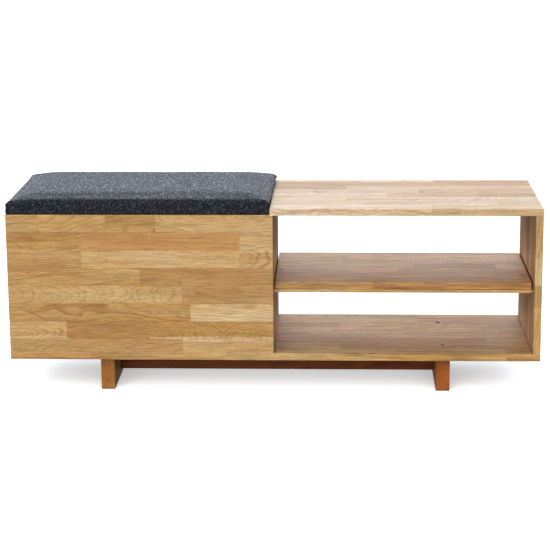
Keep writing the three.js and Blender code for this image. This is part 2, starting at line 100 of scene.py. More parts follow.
class Graph:
    """Adds nodes to one tree. An argument is a plain value or another node's output."""

    def __init__(self, tree):
        self.tree = tree

    def node(self, kind, **settings):
        made = self.tree.nodes.new(kind)
        for name, value in settings.items():
            setattr(made, name, value)
        return made

    def feed(self, socket, value):
        if isinstance(value, bpy.types.NodeSocket):
            self.tree.links.new(value, socket)
        elif value is not None:
            socket.default_value = value

    def feed_all(self, node, values):
        """Links or sets several of a node's sockets, given by their names."""
        for name, value in values.items():
            self.feed(node.inputs[name], value)

    def result(self, kind, values, **settings):
        """The first output of a new node, whose inputs are fed in order. None leaves one alone."""
        made = self.node(kind, **settings)
        for socket, value in zip(made.inputs, values):
            self.feed(socket, value)
        return made.outputs[0]

    def math(self, operation, a, b=None):
        return self.result("ShaderNodeMath", (a, b), operation=operation)

    def add(self, a, b):
        return self.math("ADD", a, b)

    def times(self, a, b):
        return self.math("MULTIPLY", a, b)

    def minus(self, a, b):
        return self.math("SUBTRACT", a, b)

    def size(self, a):
        return self.math("ABSOLUTE", a)

    def largest(self, a, *others):
        for other in others:
            a = self.math("MAXIMUM", a, other)
        return a

    def spread(self, value, low, high, to_low=0.0, to_high=1.0):
        """Maps low..high to to_low..to_high, clamped and smooth at both ends."""
        values = (value, low, high, to_low, to_high)
        return self.result("ShaderNodeMapRange", values, interpolation_type="SMOOTHSTEP")

    def split(self, vector):
        return list(self.result("ShaderNodeSeparateXYZ", (vector,)).node.outputs)

    def join(self, x, y, z):
        return self.result("ShaderNodeCombineXYZ", (x, y, z))

    def vector(self, operation, a, b=None):
        return self.result("ShaderNodeVectorMath", (a, b), operation=operation)

    def scaled(self, vector, amount):
        values = (vector, None, None, amount)
        return self.result("ShaderNodeVectorMath", values, operation="SCALE")

    def blend(self, factor, a, b, mode="MIX"):
        made = self.node("ShaderNodeMix", data_type="RGBA", blend_type=mode)
        self.feed(made.inputs[0], factor)
        self.feed(made.inputs[6], a)
        self.feed(made.inputs[7], b)
        return made.outputs[2]

    def tint(self, colour, red, green, blue):
        """A colour with its three parts multiplied."""
        return self.blend(1.0, colour, (red, green, blue, 1), "MULTIPLY")

    def between(self, factor, a, b):
        return self.result("ShaderNodeMix", (factor, None, a, b), data_type="FLOAT")

    def ramp(self, factor, stops, interpolation="LINEAR"):
        """A colour ramp from (position, colour) stops. A stop's colour may be one grey number."""
        made = self.node("ShaderNodeValToRGB")
        made.color_ramp.interpolation = interpolation
        elements = made.color_ramp.elements
        while len(elements) > 1:
            elements.remove(elements[-1])
        for index, (position, colour) in enumerate(stops):
            element = elements[0] if index == 0 else elements.new(position)
            element.position = position
            grey = isinstance(colour, (int, float))
            element.color = (colour, colour, colour, 1) if grey else colour
        self.feed(made.inputs[0], factor)
        return made

    def noise(self, vector, scale, detail=2.0, roughness=0.5):
        """Noise with features of 1 / scale metres, one number for each axis or one for all."""
        if not isinstance(scale, (int, float)):
            vector = self.vector("MULTIPLY", vector, scale)
            scale = 1.0
        made = self.node("ShaderNodeTexNoise")
        named = {"Vector": vector, "Scale": scale, "Detail": detail, "Roughness": roughness}
        self.feed_all(made, named)
        return made.outputs["Fac"]

    def swing(self, vector, scale, detail=2.0):
        """Noise from -0.5 to 0.5."""
        return self.minus(self.noise(vector, scale, detail), 0.5)

    def noise_line(self, along):
        made = self.node("ShaderNodeTexNoise", noise_dimensions="1D")
        self.feed_all(made, {"W": along, "Scale": 1.0, "Detail": 1.0})
        return made.outputs["Fac"]

    def openness(self, reach, samples, toward=None):
        """1 on a surface with nothing near, and less where something is within `reach`."""
        made = self.node("ShaderNodeAmbientOcclusion", samples=samples)
        self.feed_all(made, {"Distance": reach, "Normal": toward})
        return made.outputs["AO"]

    def bump(self, height, distance, strength):
        made = self.node("ShaderNodeBump")
        self.feed_all(made, {"Height": height, "Distance": distance, "Strength": strength})
        return made.outputs["Normal"]


def new_material(name):
    """A material with only its output and a Principled shader, as (material, graph, shader)."""
    material = bpy.data.materials.new(name)
    material.use_nodes = True
    graph = Graph(material.node_tree)
    shader = material.node_tree.nodes["Principled BSDF"]
    return material, graph, shader


def place_of(graph):
    """The point's own coordinates in metres, which move with its body."""
    return graph.node("ShaderNodeTexCoord").outputs["Object"]


def facing_of(graph):
    """How squarely the surface faces along X, Y and Z, each from 0 to 1."""
    facing = graph.node("ShaderNodeTexCoord").outputs["Normal"]
    return [graph.size(side) for side in graph.split(facing)]


def add_world():
    """A dim room with a broad bright screen behind the bench, above the level of its top."""
    world = bpy.data.worlds.new("studio")
    world.use_nodes = True
    graph = Graph(world.node_tree)
    direction = graph.split(graph.node("ShaderNodeTexCoord").outputs["Generated"])
    back, up = direction[Y], direction[Z]
    room = graph.spread(up, -0.05, 0.25, 0.14, 0.39)
    screen = graph.times(graph.spread(up, 0.27, 0.54), graph.spread(up, 0.95, 0.75))
    screen = graph.times(screen, graph.spread(back, 0.15, 0.70))
    shares = [graph.add(room, graph.times(screen, SCREEN_LIGHT * tint)) for tint in SCREEN_TINT]
    background = world.node_tree.nodes["Background"]
    graph.feed_all(background, {"Color": graph.join(*shares), "Strength": 1.0})
    scene.world = world


def add_floor():
    """A pale floor. It glows a little, so that it stays white around the bench."""
    half = FLOOR_SIZE / 2
    corners = [(-half, -half, 0), (half, -half, 0), (half, half, 0), (-half, half, 0)]
    mesh = bpy.data.meshes.new("floor")
    mesh.from_pydata(corners, [], [(0, 1, 2, 3)])
    floor = add_object("floor", mesh)
    material, graph, shader = new_material("floor")
    # Painted shadow: the glow fades, by ambient occlusion, where the bench screens the floor from
    # the room in front.
    painted_shadow_openness = graph.openness(SHADE_REACH, 8, toward=graph.join(0.0, -0.8, 0.6))
    graph.feed_all(shader, {
        "Base Color": FLOOR_COLOUR,
        "Roughness": 0.9,
        "Specular IOR Level": 0.0,
        "Emission Color": FLOOR_GLOW,
        "Emission Strength": graph.spread(painted_shadow_openness, 0.20, 0.75, 0.33, 0.72),
    })
    mesh.materials.append(material)
    floor.visible_diffuse = False
    floor.visible_glossy = False


scene.view_settings.view_transform = "Standard"
add_camera()
add_world()
add_floor()
add_sun("key", strength=2.7, spread=60, down=24, turn=-12, colour=(1.0, 0.985, 0.96))


# ---- Wood ----------------------------------------------------

STAVE = 0.050                   # width of a stave
STAVE_LENGTHS = (0.17, 0.56)    # shortest and longest
SHORTEST_END = 0.03             # no stave starts nearer than this to the end of its row
JOINT = 0.35 * MM               # width of a glue line
CREASE_REACH = 12 * MM          # how near another surface the grime and painted shade of a crease reach
MOST_STOPS = 31                 # the most staves that one colour ramp holds

TONES = {
    "cream": (0.70, 0.54, 0.35),
    "sand": (0.63, 0.465, 0.280),
    "blush": (0.59, 0.405, 0.225),
    "pale": (0.61, 0.450, 0.232),
    "straw": (0.55, 0.380, 0.158),
    "wheat": (0.50, 0.335, 0.135),
    "honey": (0.495, 0.312, 0.104),
    "rose": (0.51, 0.302, 0.118),
    "tan": (0.455, 0.272, 0.092),
    "orange": (0.50, 0.258, 0.072),
    "brown": (0.41, 0.220, 0.070),
    "red": (0.44, 0.180, 0.046),
    # painted shade: a very dark tone for the base rail, standing in for the shade under the case
    "shade_dark_red": (0.150, 0.040, 0.008),
    "beech": (0.60, 0.42, 0.25),
    "birch": (0.66, 0.50, 0.31),
}


def wood_figure():
    """A node group for one stave: its growth rings, fibres and pores, cut from a turned log.

    Grain is a point in metres: along the stave, across it and through it. Dice are the stave's
    own three random numbers. Streaks is 1 for even wood and more for streaky wood.
    """
    tree = bpy.data.node_groups.new("wood_figure", "ShaderNodeTree")
    taken = {"Grain": "Vector", "Dice": "Vector", "Tone": "Color", "Streaks": "Float"}
    returned = {"Color": "Color", "Roughness": "Float", "Height": "Float"}
    for way, sockets in (("INPUT", taken), ("OUTPUT", returned)):
        for name, kind in sockets.items():
            tree.interface.new_socket(name=name, in_out=way, socket_type="NodeSocket" + kind)
    graph = Graph(tree)
    given = graph.node("NodeGroupInput").outputs
    grain, dice, tone, streaks = given["Grain"], given["Dice"], given["Tone"], given["Streaks"]
    one, two, three = graph.split(dice)
    along, across, through = graph.split(grain)
    spot = graph.vector("ADD", grain, graph.vector("MULTIPLY", dice, (7.3, 5.1, 6.7)))

    # Distance from the middle of the log, which leans and sways along the stave.
    side = graph.minus(across, graph.times(graph.minus(one, 0.5), 0.11))
    lean = graph.add(0.02, graph.times(graph.math("POWER", two, 3.0), 0.30))
    shifted = graph.add(graph.times(along, lean), graph.times(three, 0.9))
    depth = graph.add(graph.add(through, 0.012), graph.math("PINGPONG", shifted, 0.085))
    squares = graph.add(graph.times(side, side), graph.times(depth, depth))
    sway = graph.swing(spot, (5.5, 14, 14), 1.5)
    amount = graph.add(0.010, graph.times(graph.math("POWER", one, 3.0), 0.045))
    wobble = graph.times(graph.swing(spot, (34, 110, 110)), 0.0026)
    curl = graph.times(graph.swing(spot, (13, 38, 38), 1.0), 0.0100)
    bent = graph.add(graph.times(sway, amount), graph.add(wobble, curl))
    away = graph.add(graph.math("SQRT", squares), bent)

    # Growth rings: pale early wood turns slowly to dark late wood, then starts again.
    spacing = graph.add(0.0038, graph.times(three, 0.0036))
    count = graph.math("DIVIDE", away, spacing)
    uneven = graph.noise_line(graph.add(graph.times(count, 0.45), graph.times(one, 60)))
    phase = graph.math("FRACT", graph.add(count, graph.times(uneven, 1.3)))
    darkness = [(0.0, 0.0), (0.60, 0.03), (0.80, 0.6), (0.90, 1.0), (0.98, 0.3), (1.0, 0.0)]
    ring = graph.ramp(phase, darkness)
    strong = graph.noise_line(graph.add(graph.times(count, 0.27), graph.times(two, 90)))
    late = graph.times(ring.outputs[0], graph.spread(strong, 0.3, 0.7, 0.50, 1.0))
    patchy = graph.spread(graph.noise(spot, (12, 70, 70), 2.0), 0.3, 0.60, 0.45, 1.0)
    late = graph.times(late, patchy)

    fibre = graph.noise(spot, (20, 460, 460), 3.0, 0.65)
    streak = graph.noise(spot, (7, 110, 110), 2.0, 0.6)
    line = graph.noise(spot, (20, 290, 290), 2.0, 0.65)
    band = graph.spread(graph.noise(spot, (3.0, 62, 62), 2.0), 0.57, 0.70)
    cloud = graph.noise(spot, (3.2, 20, 20), 2.0)
    pores = graph.spread(graph.noise(spot, (55, 1300, 1300), 1.0), 0.58, 0.70)

    # Each stave drifts between a paler, yellower wood and a redder one.
    drift = graph.spread(graph.noise(spot, (2.0, 13, 13), 3.0, 0.6), 0.28, 0.72)
    paler = graph.tint(tone, 1.13, 1.19, 1.38)
    redder = graph.tint(tone, 0.97, 0.84, 0.62)
    base = graph.blend(drift, redder, paler)

    # Some staves keep a strip of pale sapwood along one side.
    which = graph.minus(graph.times(graph.math("GREATER_THAN", one, 0.5), 2.0), 1.0)
    waver = graph.times(graph.minus(cloud, 0.5), 0.016)
    strip = graph.spread(graph.add(graph.times(across, which), waver), 0.0165, 0.0205)
    strip = graph.times(strip, graph.math("GREATER_THAN", two, 0.84))
    base = graph.blend(graph.times(strip, 0.6), base, (0.74, 0.575, 0.345, 1))

    # Light and dark streaks, late wood, darker bands, fibres and pores, in that order.
    shade = graph.add(graph.times(cloud, 0.30), graph.times(line, 0.84))
    light = graph.times(graph.minus(streak, 0.5), graph.times(streaks, 0.62))
    base = graph.scaled(base, graph.add(0.52, graph.add(shade, light)))
    deep = graph.tint(base, 0.62, 0.42, 0.24)
    colour = graph.blend(late, base, deep)
    colour = graph.blend(graph.times(band, 0.30), colour, deep)
    colour = graph.blend(graph.spread(fibre, 0.38, 0.70, 0.0, 0.56), colour, deep)
    pit = graph.tint(deep, 0.62, 0.50, 0.40)
    colour = graph.blend(graph.times(pores, 0.5), colour, pit)

    rough = graph.add(0.42, graph.add(graph.times(fibre, 0.14), graph.times(pores, 0.12)))
    height = graph.minus(graph.times(fibre, 0.7), graph.add(graph.times(late, 0.35), pores))
    result = graph.node("NodeGroupOutput")
    graph.feed_all(result, {"Color": colour, "Roughness": rough, "Height": height})
    return tree


WOOD_FIGURE = wood_figure()


def figure(graph, grain, dice, tone, streaks=1.0):
    made = graph.node("ShaderNodeGroup", node_tree=WOOD_FIGURE)
    graph.feed_all(made, {"Grain": grain, "Dice": dice, "Tone": tone, "Streaks": streaks})
    return made.outputs


def find_stave(graph, row, part, layout, length):
    """The tone and the own number of the stave at `part` of the length in `row`."""
    total = sum(len(staves) for staves in layout)
    batches, number = [], 0
    for index, staves in enumerate(layout):
        if not batches or len(batches[-1][1]) + len(staves) > MOST_STOPS:
            batches.append((index, []))
        for start, tone in staves:
            number += 1
            position = (index + start / length) / len(layout)
            batches[-1][1].append((position, (*TONES[tone], number / total)))
    place = graph.math("DIVIDE", graph.add(row, part), float(len(layout)))
    tone, own = None, None
    for first_row, stops in batches:
        ramp = graph.ramp(place, stops, "CONSTANT")
        if tone is None:
            tone, own = ramp.outputs
            continue
        here = graph.math("GREATER_THAN", row, first_row - 0.5)
        tone = graph.blend(here, tone, ramp.outputs[0])
        own = graph.between(here, own, ramp.outputs[1])
    return tone, own


def finish_wood(graph, shader, colour, rough, height, along, gloss):
    """Dark end grain, edges rubbed pale, grime and painted shade in the creases, smudges, and a
    satin finish.
    """
    sides = facing_of(graph)
    end = graph.spread(sides[along], 0.55, 0.85)
    colour = graph.blend(end, colour, graph.tint(colour, 0.80, 0.60, 0.44))
    place = place_of(graph)
    patches = graph.spread(graph.noise(place, 45, 2.0), 0.35, 0.62)
    rubbed = graph.times(graph.spread(graph.largest(*sides), 0.99, 0.86), patches)
    worn = graph.tint(colour, 1.22, 1.24, 1.28)
    colour = graph.blend(graph.times(rubbed, 0.7), colour, worn)
    # Painted shade, partly grime: the colour darkens where ambient occlusion finds another surface
    # near, in creases and between parts.
    crease = graph.openness(CREASE_REACH, 6)
    grime_and_painted_shade = graph.tint(colour, 0.40, 0.30, 0.22)
    colour = graph.blend(graph.spread(crease, 0.85, 0.30), colour, grime_and_painted_shade)
    smudges = graph.spread(graph.noise(place, 6, 3.0, 0.6), 0.35, 0.7, -0.035, 0.06)
    graph.feed_all(shader, {
        "Base Color": colour,
        "Roughness": graph.add(rough, graph.add(smudges, graph.times(end, 0.12))),
        "Normal": graph.bump(height, 0.06 * MM, 0.8),
        "Specular IOR Level": 0.5 * gloss,
        "Coat Weight": 0.20 * gloss,
        "Coat Roughness": 0.30,
    })


def stave_material(node, along, across, layout, first=STAVE, seed=1, gloss=1.0, streaks=1.0):
    """Staves glued edge to edge: they run along one axis and lie side by side across the other.

    `first` is the width of the row at the lower edge, and the other rows are STAVE wide.
    """
    low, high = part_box(node)
    length = high[along] - low[along]
    material, graph, shader = new_material(node + "_staves")
    parts = graph.split(graph.vector("SUBTRACT", place_of(graph), tuple(low)))
    thick = ({X, Y, Z} - {along, across}).pop()
    u, v, w = parts[along], parts[across], parts[thick]

    rows = graph.math("DIVIDE", graph.minus(v, first - STAVE), STAVE)
    row = graph.math("MINIMUM", graph.math("FLOOR", rows), len(layout) - 1.0)
    row = graph.largest(row, 0.0)
    middle = graph.minus(graph.minus(v, first - STAVE / 2), graph.times(row, STAVE))

    def share(shift):
        part = graph.math("DIVIDE", graph.add(u, shift), length)
        return graph.math("MINIMUM", graph.largest(part, 0.0001), 0.9999)

    tone, own = find_stave(graph, row, share(0.0), layout, length)
    next_own = find_stave(graph, row, share(JOINT), layout, length)[1]
    white = graph.node("ShaderNodeTexWhiteNoise", noise_dimensions="1D")
    graph.feed(white.inputs["W"], graph.add(graph.times(own, 977.0), seed * 13.0))
    made = figure(graph, graph.join(u, middle, w), white.outputs["Color"], tone, streaks)

    end_line = graph.math("GREATER_THAN", graph.size(graph.minus(own, next_own)), 1e-4)
    nearest = graph.math("ROUND", rows)
    from_joint = graph.times(graph.size(graph.minus(rows, nearest)), STAVE)
    half = len(layout) / 2
    inner = graph.math("LESS_THAN", graph.size(graph.minus(nearest, half)), half - 0.5)
    side_line = graph.times(graph.math("LESS_THAN", from_joint, JOINT / 2), inner)
    line = graph.largest(end_line, side_line)
    glue = graph.tint(made["Color"], 0.52, 0.42, 0.34)
    colour = graph.blend(graph.times(line, 0.75), made["Color"], glue)
    height = graph.minus(made["Height"], graph.times(line, 1.5))
    finish_wood(graph, shader, colour, made["Roughness"], height, along, gloss)
    return material


def give(node, material):
    """Puts a material in each of a CAD node's slots."""
    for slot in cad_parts[node].material_slots:
        slot.link = "OBJECT"
        slot.material = material


# Rows from the bottom up, each stave as the distance of its left end in millimetres, and its tone.
FRONT_STAVES = [
    [(0, "honey"), (300, "tan"), (465, "straw")],
    [(0, "straw"), (146, "tan"), (379, "honey"), (702, "tan")],
    [(0, "honey"), (487, "pale")],
    [(0, "straw"), (459, "tan")],
    [(0, "honey"), (350, "tan"), (457, "tan")],
    [(0, "honey"), (190, "pale"), (612, "straw")],
    [(0, "honey"), (197, "orange"), (611, "straw")],
    [(0, "honey"), (73, "straw"), (262, "honey"), (399, "straw")],
]
FRONT_BOTTOM_ROW = 0.0395
RAIL_STAVES = [[(0, "pale"), (200, "straw")]]
# The base rail's very dark tone is painted shade: it stands in for the shade under the case.
BASE_STAVES = [[(0, "shade_dark_red"), (420, "shade_dark_red")], [(0, "shade_dark_red"), (600, "shade_dark_red")]]

MIXED = ["pale", "straw", "straw", "honey", "honey", "rose", "tan", "orange"]
LIGHT = ["blush", "blush", "blush", "sand", "pale", "rose", "tan"]
PINK = ["blush", "sand", "blush", "rose", "sand"]
BROWN = ["tan", "brown", "brown", "rose", "tan", "honey"]


def in_metres(rows):
    return [[(start * MM, tone) for start, tone in row] for row in rows]


def board_layout(node, along, across, seed, tones, front_rows):
    """Rows of (start, tone) pairs that fill a board, drawn by `seed` behind any that are given."""
    low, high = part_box(node)
    length = high[along] - low[along]
    dice = random.Random(seed)
    layout = []
    for _ in range(math.ceil((high[across] - low[across]) / STAVE - 0.01)):
        start = -dice.uniform(0, STAVE_LENGTHS[0])
        row = []
        while start < length - SHORTEST_END:
            row.append((max(start, 0), dice.choice(tones)))
            start += dice.uniform(*STAVE_LENGTHS)
        layout.append(row)
    layout[:len(front_rows)] = in_metres(front_rows)
    return layout


PANELS = [
    # node, along, across, seed, gloss, streaks, tones, rows from the front
    ("back_panel", X, Z, 21, 1.0, 1.0, MIXED, ()),
    # The top panel's cream front row is partly pale sapwood and partly a painted highlight along
    # its front edge.
    ("top_panel", X, Y, 8, 1.8, 1.6, LIGHT, [[(0, "cream"), (432, "pale")]]),
    # Painted shade: the bottom panel's front rows get darker brown tones, standing in for the shade
    # under the shelf.
    ("bottom_panel", X, Y, 33, 0.75, 2.6, BROWN,
     [[(0, "rose"), (237, "wheat"), (1320, "tan")],
      [(0, "brown"), (410, "tan"), (905, "brown"), (1180, "tan")],
      [(0, "tan"), (300, "brown"), (1010, "brown"), (1290, "tan")]]),
    ("shelf", X, Y, 14, 1.1, 3.0, BROWN, [[(0, "tan"), (262, "brown")]]),
    ("right_side_panel", Z, Y, 41, 1.0, 1.0, PINK,
     [[(0, "straw"), (130, "wheat"), (190, "straw"), (285, "wheat")]]),
    ("left_side_panel", Z, Y, 52, 1.0, 1.0, MIXED, ()),
    ("divider_panel", Z, Y, 63, 1.0, 1.0, PINK, ()),
]
for node, along, across, seed, gloss, streaks, tones, front_rows in PANELS:
    layout = board_layout(node, along, across, seed, tones, front_rows)
    give(node, stave_material(node, along, across, layout, STAVE, seed, gloss, streaks))
layout = in_metres(FRONT_STAVES)
give("front_panel", stave_material("front_panel", X, Z, layout, FRONT_BOTTOM_ROW, seed=7))
for index, node in enumerate(("shelf_rail_front", "shelf_rail_back")):
    give(node, stave_material(node, X, Y, in_metres(RAIL_STAVES), seed=71 + index))
for index, (node, tone) in enumerate((("left_leg", "honey"), ("right_leg", "red"))):
    low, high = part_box(node)
    board = stave_material(node, Y, Z, [[(0, tone)]], high[Z] - low[Z], 84 + index, gloss=0.5)
    give(node, board)
layout = in_metres(BASE_STAVES)
give("base_rail", stave_material("base_rail", X, Z, layout, seed=90, gloss=0.3))


# ---- Felt seat: a foam slab under a stretched cover ----------

SEAT_START = 3.5 * MM           # how far the cover starts below its final crown
SEAT_INSET = 0.2 * MM           # and inside its sides
SEAT_ROUND = 14.0 * MM          # rounding of the upper edges
UNDER_ROUND = 3.0 * MM          # height of the rounding along the lower edge
CORNER_SHARP = 6.0              # 2 is a round corner, and more is squarer
CELL = 8.0 * MM
SWELL_SIDE, SWELL_UP = 2.4 * MM, 5.0 * MM
PRESSURE = 4.0
FRAMES = 20
LEFT_DROP, RIGHT_DROP = 11.0 * MM, 6.0 * MM     # the ends lie lower than the crown
DROP_REACH = 88.0 * MM
FRONT_DROP, FRONT_REACH = 8.0 * MM, 60.0 * MM   # the front rolls over gently
OVERHANG = 7.5 * MM             # the right end leans out over the top panel
LEAN_REACH = 24.0 * MM
EAR, EAR_REACH = 1.8 * MM, 15.0 * MM            # the upper corners stand out and up a little
FOLDS, FOLD_HEIGHT, FOLD_REACH = 7.0, 0.6 * MM, 32.0 * MM   # creases that fan out from a corner
BROAD_DENT, FINE_DENT = 1.0 * MM, 0.4 * MM
CORNER_AREA = 0.2               # farther from a corner than this, it has no effect
FREE_HEIGHT = 10.0 * MM         # how far above the board the felt is wholly free to move
TURNED_UNDER = 20.0 * MM        # width of the felt stapled under the board
FELT_THICK = 2.5 * MM
BOARD_GAP = 0.3 * MM
HINGE_ROOM = 0.9 * MM           # the back edge stops this far above the board's underside


def steps(length, edge, cell):
    """Distances from 0 to length: fine steps within `edge` of both ends, and cells between them."""
    ends = [edge * part / 4 for part in range(5)]
    count = max(1, round((length - 2 * edge) / cell))
    middle = [edge + (length - 2 * edge) * index / count for index in range(1, count)]
    return ends + middle + [length - distance for distance in reversed(ends)]


def rounded_block(size, radius, cell):
    """A closed block of quads round the origin: rounded along its edges, squarer at its corners."""
    lines = [steps(length, radius, cell) for length in size]
    half = [length / 2 for length in size]
    mesh = bmesh.new()
    made = {}

    def corner(key):
        if key not in made:
            point = Vector(lines[axis][key[axis]] - half[axis] for axis in range(3))
            core = Vector(
                max(min(point[axis], half[axis] - radius), radius - half[axis]) for axis in range(3)
            )
            away = (point - core).normalized() * radius
            flat = math.hypot(away.x, away.y)
            if flat > 0:
                across, deep = abs(away.x) / flat, abs(away.y) / flat
                reach = (across ** CORNER_SHARP + deep ** CORNER_SHARP) ** (-1 / CORNER_SHARP)
                away.x *= reach
                away.y *= reach
            made[key] = mesh.verts.new(core + away)
        return made[key]

    for axis in range(3):
        a, b = (axis + 1) % 3, (axis + 2) % 3
        for side in (0, len(lines[axis]) - 1):
            for i in range(len(lines[a]) - 1):
                for j in range(len(lines[b]) - 1):
                    keys = []
                    for di, dj in ((0, 0), (1, 0), (1, 1), (0, 1)):
                        key = [0, 0, 0]
                        key[axis], key[a], key[b] = side, i + di, j + dj
                        keys.append(tuple(key))
                    if side == 0:
                        keys.reverse()
                    mesh.faces.new([corner(key) for key in keys])
    return mesh


def mesh_object(name, mesh):
    """Turns a bmesh into an object in the scene."""
    data = bpy.data.meshes.new(name)
    mesh.to_mesh(data)
    mesh.free()
    return add_object(name, data)


def soft_cap(move, most):
    """Holds a movement under `most`, smoothly."""
    return most * math.tanh(move / most)


def ease(value):
    """0 below 0, 1 above 1, and a smooth rise between them."""
    value = min(max(value, 0.0), 1.0)
    return value * value * (3 - 2 * value)


def even_out(cushion, moves, rounds=10):
    """Blends every point's movement with its neighbours', so that no valley forms along an edge."""
    touching = [[] for _ in moves]
    for edge in cushion.data.edges:
        first, second = edge.vertices
        touching[first].append(second)
        touching[second].append(first)
    for _ in range(rounds):
        moves = [
            (move + sum((moves[other] for other in others), Vector()) / len(others)) / 2
            for move, others in zip(moves, touching)
        ]
    return moves


def inflate(cushion, held_below):
    """Swells the cover by cloth pressure. Points below `held_below` stay where they are."""
    start = [vertex.co.copy() for vertex in cushion.data.vertices]
    held = cushion.vertex_groups.new(name="held")
    held.add([index for index, point in enumerate(start) if point.z < held_below], 1.0, "REPLACE")
    cloth = cushion.modifiers.new("cloth", "CLOTH")
    settings = cloth.settings
    settings.quality = 5
    settings.mass = 0.4
    settings.tension_stiffness = 20
    settings.compression_stiffness = 20
    settings.shear_stiffness = 8
    settings.bending_stiffness = 2
    settings.use_pressure = True
    settings.uniform_pressure_force = PRESSURE
    settings.effector_weights.gravity = 0
    settings.vertex_group_mass = "held"
    cloth.collision_settings.use_collision = False
    cloth.point_cache.frame_start = 1
    cloth.point_cache.frame_end = FRAMES
    for number in range(1, FRAMES + 1):
        scene.frame_set(number)
    solved = cushion.evaluated_get(bpy.context.evaluated_depsgraph_get()).data
    moves = [solved.vertices[index].co - point for index, point in enumerate(start)]
    moves = even_out(cushion, [Vector((move.x, move.y, max(move.z, 0))) for move in moves])
    cushion.modifiers.remove(cloth)
    cushion.vertex_groups.clear()
    scene.frame_set(1)
    for vertex, point, move in zip(cushion.data.vertices, start, moves):
        side = Vector((move.x, move.y, 0))
        if side.length > 0:
            side *= soft_cap(side.length, SWELL_SIDE) / side.length
        vertex.co = point + side + Vector((0, 0, soft_cap(move.z, SWELL_UP)))


def shape_seat(cushion, low, high):
    """Draws out the four upper corners, leans the right end out, and adds folds and dents."""
    middle = (low + high) / 2
    corners = []
    for x, drop in ((low.x, LEFT_DROP), (high.x, RIGHT_DROP)):
        for y in (low.y, high.y):
            outward = Vector((math.copysign(1, x - middle.x), math.copysign(1, y - middle.y), 0))
            corners.append((Vector((x, y, high.z - drop - 4 * MM)), outward))
    board_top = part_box("lid_board")[1].z
    normals = [vertex.normal.copy() for vertex in cushion.data.vertices]
    for vertex, normal in zip(cushion.data.vertices, normals):
        point = vertex.co.copy()
        free = ease((point.z - board_top) / FREE_HEIGHT)
        if free == 0:
            continue
        move = Vector((0, 0, 0))
        for spot, outward in corners:
            away = point - spot
            if away.length > CORNER_AREA:
                continue
            pull = math.exp(-(away.length / EAR_REACH) ** 2)
            move += pull * EAR * (outward + Vector((0, 0, 1)))
            turn = math.atan2(away.y * outward.y, away.x * outward.x)
            fold = math.sin(turn * FOLDS + 1.3 * outward.x) * math.exp(-away.length / FOLD_REACH)
            move.z += FOLD_HEIGHT * fold * (1 - pull)
        lean = OVERHANG * (1 + 0.45 * (point.y - middle.y) / (high.y - middle.y))
        move.x += lean * ease((point.x - high.x) / LEAN_REACH + 1)
        broad = noise.noise(point * 11.0)
        fine = noise.noise(point * 34.0 + Vector((5, 2, 7)))
        move += normal * (BROAD_DENT * broad + FINE_DENT * fine)
        vertex.co = point + move * free


def on_rectangle(point, old_low, old_high, new_low, new_high, height):
    """Moves a point from one rectangle to the matching place on another, at a new height."""
    moved = [new_low[axis] + (point[axis] - old_low[axis]) / (old_high[axis] - old_low[axis])
             * (new_high[axis] - new_low[axis]) for axis in (X, Y)]
    return Vector((*moved, height))


def hollow_seat(cushion, low, high):
    """Opens the underside between the turned edges of the felt, and makes room for the board."""
    board_low, board_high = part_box("lid_board")
    mouth_low = Vector((low.x + TURNED_UNDER, low.y + TURNED_UNDER, 0))
    mouth_high = Vector((high.x - TURNED_UNDER, high.y - FELT_THICK, 0))
    room_low = board_low - Vector((BOARD_GAP, BOARD_GAP, BOARD_GAP))
    room_high = board_high + Vector((BOARD_GAP, BOARD_GAP, BOARD_GAP))
    mesh = bmesh.new()
    mesh.from_mesh(cushion.data)
    bottom = low.z + 0.2 * MM
    inside = []
    for face in mesh.faces:
        spot = face.calc_center_median()
        flat = max(vertex.co.z for vertex in face.verts) < bottom
        between = mouth_low.x < spot.x < mouth_high.x and mouth_low.y < spot.y < mouth_high.y
        if flat and between:
            inside.append(face)
    bmesh.ops.delete(mesh, geom=inside, context="FACES")
    rim = [edge for edge in mesh.edges if edge.is_boundary]
    loop = {vertex for edge in rim for vertex in edge.verts}
    seen_low = Vector(min(vertex.co[axis] for vertex in loop) for axis in range(3))
    seen_high = Vector(max(vertex.co[axis] for vertex in loop) for axis in range(3))
    for vertex in loop:
        vertex.co = on_rectangle(vertex.co, seen_low, seen_high, mouth_low, mouth_high, vertex.co.z)

    def raise_rim(edges, old, new, height):
        made = bmesh.ops.extrude_edge_only(mesh, edges=edges)["geom"]
        points = [part for part in made if isinstance(part, bmesh.types.BMVert)]
        for vertex in points:
            vertex.co = on_rectangle(vertex.co, *old, *new, height)
        return [part for part in made if isinstance(part, bmesh.types.BMEdge)]

    mouth, room = (mouth_low, mouth_high), (room_low, room_high)
    rim = raise_rim(rim, mouth, mouth, room_low.z)
    rim = raise_rim(rim, mouth, room, room_low.z)
    rim = raise_rim(rim, room, room, room_high.z)
    bmesh.ops.contextual_create(mesh, geom=rim)
    clear = board_low.z + HINGE_ROOM
    for vertex in mesh.verts:
        back = vertex.co.y > mouth_high.y - 1 * MM
        between = mouth_low.x - 1 * MM < vertex.co.x < mouth_high.x + 1 * MM
        if back and between and vertex.co.z < clear:
            vertex.co.z = clear
    bmesh.ops.recalc_face_normals(mesh, faces=mesh.faces)
    mesh.to_mesh(cushion.data)
    mesh.free()


def smooth(piece, angle=40):
    piece.data.shade_smooth()
    piece.data.set_sharp_from_angle(angle=math.radians(angle))


def fall(distance, reach):
    """1 at an edge, falling to 0 at `reach` from it, steeply at first."""
    return (1 - min(distance / reach, 1)) ** 2


